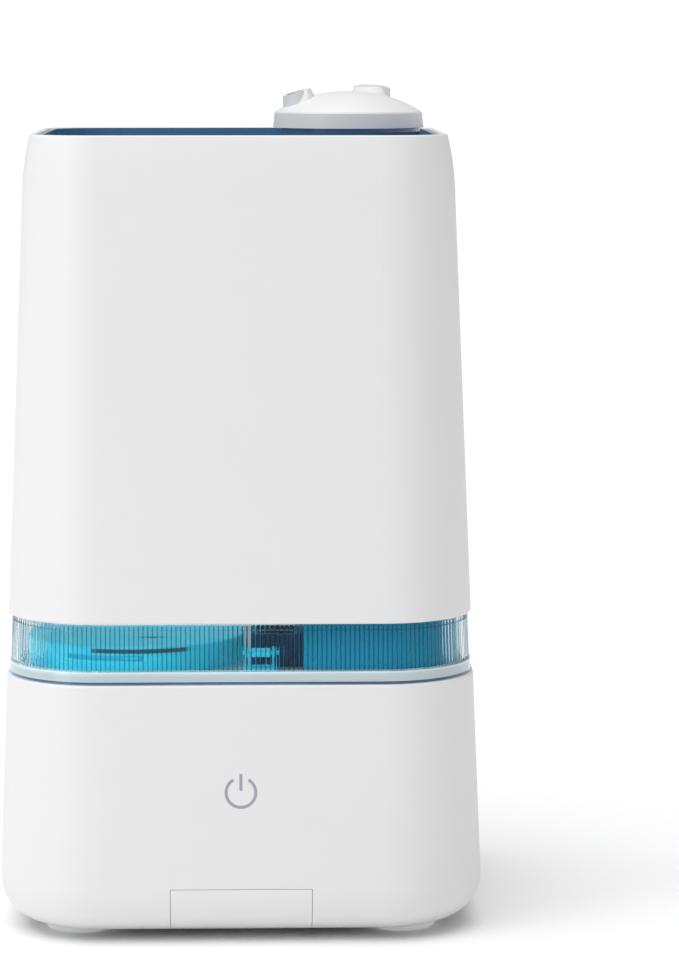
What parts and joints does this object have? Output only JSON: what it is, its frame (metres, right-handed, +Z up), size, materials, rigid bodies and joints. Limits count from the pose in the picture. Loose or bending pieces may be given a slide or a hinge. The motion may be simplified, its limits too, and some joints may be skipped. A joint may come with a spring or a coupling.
{
  "type": "cool mist humidifier",
  "caption": "Top-fill ultrasonic humidifier with a white sleeved tank, clear fluted window band, round outlet cap and aroma tray.",
  "frame": {"origin": "middle of the footprint on the surface the feet stand on", "axes": "+Z up, -Y the front with the touch symbol, +X the right seen from the front"},
  "size_m": [0.1808, 0.1729, 0.3139],
  "materials": {
    "white_plastic": "satin moulded white plastic",
    "inner_white_plastic": "plain moulded white plastic",
    "clear_plastic": "clear fluted plastic with a faint blue tint",
    "pale_clear_plastic": "pale ice-blue clear plastic",
    "teal_plastic": "clear teal plastic",
    "cyan_plastic": "clear cyan plastic",
    "navy_plastic": "translucent navy plastic",
    "navy_silicone": "dark navy silicone",
    "grey_symbol": "grey lilac inlay",
    "dark_mark": "dark printed arrow",
    "soft_clear": "soft translucent pads",
    "silicone": "milky silicone",
    "steel": "plated steel",
    "aluminium": "bare aluminium",
    "black_plastic": "black moulded plastic",
    "motor_metal": "laminated steel and copper windings",
    "duct_plastic": "grey moulded plastic",
    "green_board": "green glass-fibre board",
    "board_black": "black and grey component cases",
    "felt": "felt pad",
    "float_foam": "white closed-cell float",
    "valve_plastic": "plain acetal"
  },
  "bodies": {
    "base": {"base_shell": "white_plastic", "power_symbol": "grey_symbol", "base_plate": "white_plastic", "base_screws": "steel", "feet": "soft_clear", "basin": "inner_white_plastic", "basin_seal": "silicone", "mist_disc": "steel", "mist_seal": "silicone", "mist_clamp": "aluminium", "driver_board": "green_board", "heat_sink": "aluminium", "fan_housing": "black_plastic", "fan_motor": "motor_metal", "air_duct": "duct_plastic", "main_board": "green_board", "board_parts": "board_black", "touch_board": "green_board", "dc_inlet": "black_plastic", "tray_housing": "inner_white_plastic"},
    "fan": {"fan_rotor": "black_plastic"},
    "float": {"float_ring": "float_foam"},
    "aroma_drawer": {"aroma_tray": "white_plastic", "aroma_pad": "felt"},
    "tank": {"tank_body": "clear_plastic", "tank_floor": "pale_clear_plastic", "tank_sleeve": "white_plastic", "mist_hood": "teal_plastic", "mist_tube": "teal_plastic", "chimney_boot": "navy_silicone", "cover_ring": "cyan_plastic", "strainer": "cyan_plastic", "catch_bracket": "cyan_plastic", "valve_spring": "steel"},
    "valve": {"valve_plunger": "valve_plastic", "valve_seal": "silicone"},
    "round_cover": {"valve_cover": "cyan_plastic", "cover_mark": "dark_mark"},
    "catch": {"catch_lever": "cyan_plastic"},
    "lid": {"lid": "navy_plastic", "lid_seal": "navy_silicone"},
    "nozzle": {"nozzle_base": "inner_white_plastic"},
    "cap": {"nozzle_cap": "white_plastic"}
  },
  "joints": [
    {"name": "tank_lift", "type": "slide", "parent": "base", "child": "tank", "axis": [0, 0, 1], "range_m": [0, 0.06]},
    {"name": "valve_close", "type": "slide", "parent": "tank", "child": "valve", "axis": [0, 0, 1], "range_m": [-0.0019, 0], "deforming": ["valve_spring"]},
    {"name": "float_rise", "type": "slide", "parent": "base", "child": "float", "axis": [0, 0, 1], "range_m": [0, 0.008]},
    {"name": "aroma_slide", "type": "slide", "parent": "base", "child": "aroma_drawer", "axis": [0, -1, 0], "range_m": [0, 0.042]},
    {"name": "fan_spin", "type": "hinge", "parent": "base", "child": "fan", "pos_m": [0.044, 0.034, 0.02], "axis": [0, 0, 1], "continuous": true},
    {"name": "cover_turn", "type": "hinge", "parent": "tank", "child": "round_cover", "pos_m": [-0.0395, -0.036, 0.106], "axis": [0, 0, 1], "range_deg": [0, 30]},
    {"name": "catch_lift", "type": "hinge", "parent": "tank", "child": "catch", "pos_m": [0.0075, -0.067, 0.106], "axis": [-1, 0, 0], "range_deg": [0, 20]},
    {"name": "lid_lift", "type": "slide", "parent": "tank", "child": "lid", "axis": [0, 0, 1], "range_m": [0, 0.05]},
    {"name": "nozzle_lift", "type": "slide", "parent": "lid", "child": "nozzle", "axis": [0, 0, 1], "range_m": [0, 0.03]},
    {"name": "cap_turn", "type": "hinge", "parent": "nozzle", "child": "cap", "pos_m": [0.0418, 0, 0.3], "axis": [0, 0, 1], "continuous": true}
  ],
  "couplings": [
    {"joint": "valve_close", "follows": "tank_lift", "ratio": -0.03}
  ]
}
